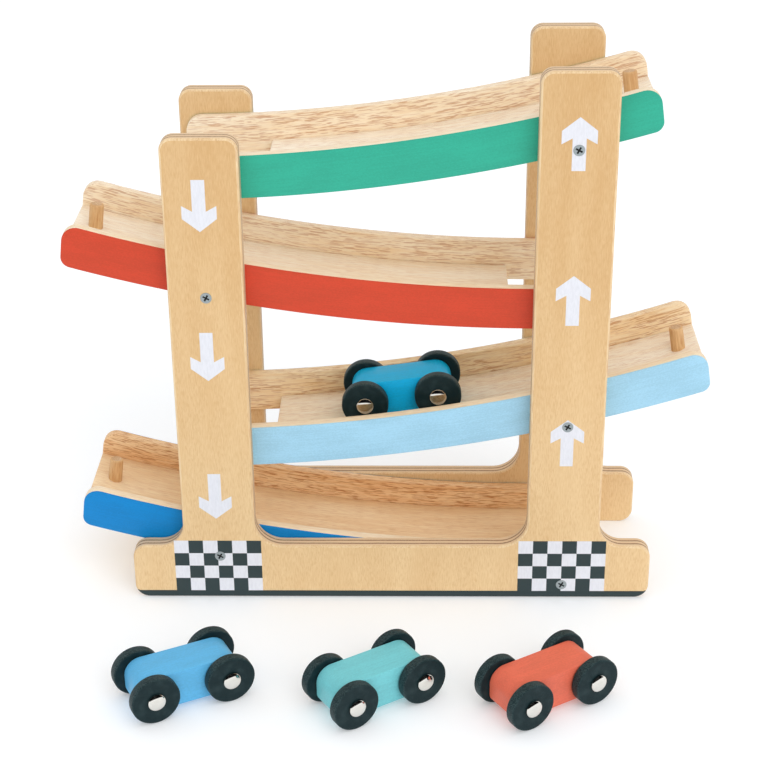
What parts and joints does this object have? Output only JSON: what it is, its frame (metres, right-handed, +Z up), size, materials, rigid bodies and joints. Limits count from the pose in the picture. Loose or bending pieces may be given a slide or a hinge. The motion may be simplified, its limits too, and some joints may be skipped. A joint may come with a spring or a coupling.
{
  "type": "wooden car track",
  "caption": "Zigzag wooden car track: plywood side frames hold curved sloping tracks with stop pegs and drop holes; small wooden cars with turning wheels roll down from track to track.",
  "frame": {"origin": "on the table, at the middle of the underside of the front frame's base", "axes": "+X to the right along the tracks, +Z up, the front frame's printed face looks along -Y"},
  "size_m": [0.311, 0.2013, 0.2737],
  "materials": {
    "ply": "clear-lacquered birch plywood, layered edges",
    "pale_wood": "bare fine-sanded hardwood",
    "rail_green": "satin green paint on the outer face, bare wood elsewhere",
    "rail_red": "satin red paint on the outer face, bare wood elsewhere",
    "rail_light_blue": "satin light blue paint on the outer face, bare wood elsewhere",
    "rail_blue": "satin blue paint on the outer face, bare wood elsewhere",
    "track_car_paint": "satin petrol blue paint on wood",
    "left_car_paint": "satin sky blue paint on wood",
    "middle_car_paint": "satin aqua paint on wood",
    "right_car_paint": "satin coral red paint on wood",
    "wheel_black": "fine matt dark plastic",
    "chrome": "polished chrome",
    "screw_steel": "zinc-plated steel"
  },
  "bodies": {
    "stand": {"front_frame": "ply", "rear_frame": "ply", "top_front_rail": "rail_green", "top_rear_rail": "rail_green", "top_floor": "pale_wood", "top_stop_peg": "pale_wood", "second_front_rail": "rail_red", "second_rear_rail": "rail_red", "second_floor": "pale_wood", "second_stop_peg": "pale_wood", "third_front_rail": "rail_light_blue", "third_rear_rail": "rail_light_blue", "third_floor": "pale_wood", "third_stop_peg": "pale_wood", "bottom_front_rail": "rail_blue", "bottom_rear_rail": "rail_blue", "bottom_floor": "pale_wood", "bottom_stop_peg": "pale_wood", "front_screw_top": "screw_steel", "rear_screw_top": "screw_steel", "front_screw_second": "screw_steel", "rear_screw_second": "screw_steel", "front_screw_third": "screw_steel", "rear_screw_third": "screw_steel", "front_screw_bottom_high": "screw_steel", "rear_screw_bottom_high": "screw_steel", "front_screw_bottom_low": "screw_steel", "rear_screw_bottom_low": "screw_steel"},
    "track_car": {"track_car_body": "track_car_paint", "track_car_front_axle": "chrome", "track_car_rear_axle": "chrome"},
    "track_car_front_left_wheel": {"track_car_front_left_wheel": "wheel_black"},
    "track_car_front_right_wheel": {"track_car_front_right_wheel": "wheel_black"},
    "track_car_rear_left_wheel": {"track_car_rear_left_wheel": "wheel_black"},
    "track_car_rear_right_wheel": {"track_car_rear_right_wheel": "wheel_black"},
    "left_car": {"left_car_body": "left_car_paint", "left_car_front_axle": "chrome", "left_car_rear_axle": "chrome"},
    "left_car_front_left_wheel": {"left_car_front_left_wheel": "wheel_black"},
    "left_car_front_right_wheel": {"left_car_front_right_wheel": "wheel_black"},
    "left_car_rear_left_wheel": {"left_car_rear_left_wheel": "wheel_black"},
    "left_car_rear_right_wheel": {"left_car_rear_right_wheel": "wheel_black"},
    "middle_car": {"middle_car_body": "middle_car_paint", "middle_car_front_axle": "chrome", "middle_car_rear_axle": "chrome"},
    "middle_car_front_left_wheel": {"middle_car_front_left_wheel": "wheel_black"},
    "middle_car_front_right_wheel": {"middle_car_front_right_wheel": "wheel_black"},
    "middle_car_rear_left_wheel": {"middle_car_rear_left_wheel": "wheel_black"},
    "middle_car_rear_right_wheel": {"middle_car_rear_right_wheel": "wheel_black"},
    "right_car": {"right_car_body": "right_car_paint", "right_car_front_axle": "chrome", "right_car_rear_axle": "chrome"},
    "right_car_front_left_wheel": {"right_car_front_left_wheel": "wheel_black"},
    "right_car_front_right_wheel": {"right_car_front_right_wheel": "wheel_black"},
    "right_car_rear_left_wheel": {"right_car_rear_left_wheel": "wheel_black"},
    "right_car_rear_right_wheel": {"right_car_rear_right_wheel": "wheel_black"}
  },
  "joints": [
    {"name": "track_car_roll", "type": "hinge", "parent": "stand", "child": "track_car", "pos_m": [-0.104, 0.0369, 0.884], "axis": [0, -1, 0], "range_deg": [-3.1, 7.8]},
    {"name": "track_car_front_left_wheel_spin", "type": "hinge", "parent": "track_car", "child": "track_car_front_left_wheel", "pos_m": [0.0235, 0.04965, 0.10076], "axis": [0, 1, 0], "continuous": true},
    {"name": "track_car_front_right_wheel_spin", "type": "hinge", "parent": "track_car", "child": "track_car_front_right_wheel", "pos_m": [0.0235, 0.02415, 0.10076], "axis": [0, 1, 0], "continuous": true},
    {"name": "track_car_rear_left_wheel_spin", "type": "hinge", "parent": "track_car", "child": "track_car_rear_left_wheel", "pos_m": [-0.01285, 0.04965, 0.0957], "axis": [0, 1, 0], "continuous": true},
    {"name": "track_car_rear_right_wheel_spin", "type": "hinge", "parent": "track_car", "child": "track_car_rear_right_wheel", "pos_m": [-0.01285, 0.02415, 0.0957], "axis": [0, 1, 0], "continuous": true},
    {"name": "left_car_roll", "type": "slide", "parent": "stand", "child": "left_car", "axis": [0.8894, 0.4571, 0], "range_m": [-0.06, 0.06]},
    {"name": "left_car_front_left_wheel_spin", "type": "hinge", "parent": "left_car", "child": "left_car_front_left_wheel", "pos_m": [-0.08521, -0.06887, 0.01165], "axis": [-0.4571, 0.8894, 0], "continuous": true},
    {"name": "left_car_front_right_wheel_spin", "type": "hinge", "parent": "left_car", "child": "left_car_front_right_wheel", "pos_m": [-0.07355, -0.09155, 0.01165], "axis": [-0.4571, 0.8894, 0], "continuous": true},
    {"name": "left_car_rear_left_wheel_spin", "type": "hinge", "parent": "left_car", "child": "left_car_rear_left_wheel", "pos_m": [-0.11785, -0.08565, 0.01165], "axis": [-0.4571, 0.8894, 0], "continuous": true},
    {"name": "left_car_rear_right_wheel_spin", "type": "hinge", "parent": "left_car", "child": "left_car_rear_right_wheel", "pos_m": [-0.10619, -0.10833, 0.01165], "axis": [-0.4571, 0.8894, 0], "continuous": true},
    {"name": "middle_car_roll", "type": "slide", "parent": "stand", "child": "middle_car", "axis": [0.8368, 0.5476, 0], "range_m": [-0.06, 0.06]},
    {"name": "middle_car_front_left_wheel_spin", "type": "hinge", "parent": "middle_car", "child": "middle_car_front_left_wheel", "pos_m": [0.00147, -0.07098, 0.01165], "axis": [-0.5476, 0.8368, 0], "continuous": true},
    {"name": "middle_car_front_right_wheel_spin", "type": "hinge", "parent": "middle_car", "child": "middle_car_front_right_wheel", "pos_m": [0.01544, -0.09232, 0.01165], "axis": [-0.5476, 0.8368, 0], "continuous": true},
    {"name": "middle_car_rear_left_wheel_spin", "type": "hinge", "parent": "middle_car", "child": "middle_car_rear_left_wheel", "pos_m": [-0.02924, -0.09108, 0.01165], "axis": [-0.5476, 0.8368, 0], "continuous": true},
    {"name": "middle_car_rear_right_wheel_spin", "type": "hinge", "parent": "middle_car", "child": "middle_car_rear_right_wheel", "pos_m": [-0.01527, -0.11242, 0.01165], "axis": [-0.5476, 0.8368, 0], "continuous": true},
    {"name": "right_car_roll", "type": "slide", "parent": "stand", "child": "right_car", "axis": [0.8406, 0.5417, 0], "range_m": [-0.06, 0.06]},
    {"name": "right_car_front_left_wheel_spin", "type": "hinge", "parent": "right_car", "child": "right_car_front_left_wheel", "pos_m": [0.08112, -0.07124, 0.01165], "axis": [-0.5417, 0.8406, 0], "continuous": true},
    {"name": "right_car_front_right_wheel_spin", "type": "hinge", "parent": "right_car", "child": "right_car_front_right_wheel", "pos_m": [0.09493, -0.09268, 0.01165], "axis": [-0.5417, 0.8406, 0], "continuous": true},
    {"name": "right_car_rear_left_wheel_spin", "type": "hinge", "parent": "right_car", "child": "right_car_rear_left_wheel", "pos_m": [0.05027, -0.09112, 0.01165], "axis": [-0.5417, 0.8406, 0], "continuous": true},
    {"name": "right_car_rear_right_wheel_spin", "type": "hinge", "parent": "right_car", "child": "right_car_rear_right_wheel", "pos_m": [0.06408, -0.11256, 0.01165], "axis": [-0.5417, 0.8406, 0], "continuous": true}
  ],
  "couplings": [
    {"joint": "track_car_front_left_wheel_spin", "follows": "track_car_roll", "ratio": 69.116},
    {"joint": "track_car_front_right_wheel_spin", "follows": "track_car_roll", "ratio": 69.116},
    {"joint": "track_car_rear_left_wheel_spin", "follows": "track_car_roll", "ratio": 69.116},
    {"joint": "track_car_rear_right_wheel_spin", "follows": "track_car_roll", "ratio": 69.116},
    {"joint": "left_car_front_left_wheel_spin", "follows": "left_car_roll", "rad_per_m": 85.837},
    {"joint": "left_car_front_right_wheel_spin", "follows": "left_car_roll", "rad_per_m": 85.837},
    {"joint": "left_car_rear_left_wheel_spin", "follows": "left_car_roll", "rad_per_m": 85.837},
    {"joint": "left_car_rear_right_wheel_spin", "follows": "left_car_roll", "rad_per_m": 85.837},
    {"joint": "middle_car_front_left_wheel_spin", "follows": "middle_car_roll", "rad_per_m": 85.837},
    {"joint": "middle_car_front_right_wheel_spin", "follows": "middle_car_roll", "rad_per_m": 85.837},
    {"joint": "middle_car_rear_left_wheel_spin", "follows": "middle_car_roll", "rad_per_m": 85.837},
    {"joint": "middle_car_rear_right_wheel_spin", "follows": "middle_car_roll", "rad_per_m": 85.837},
    {"joint": "right_car_front_left_wheel_spin", "follows": "right_car_roll", "rad_per_m": 85.837},
    {"joint": "right_car_front_right_wheel_spin", "follows": "right_car_roll", "rad_per_m": 85.837},
    {"joint": "right_car_rear_left_wheel_spin", "follows": "right_car_roll", "rad_per_m": 85.837},
    {"joint": "right_car_rear_right_wheel_spin", "follows": "right_car_roll", "rad_per_m": 85.837}
  ]
}
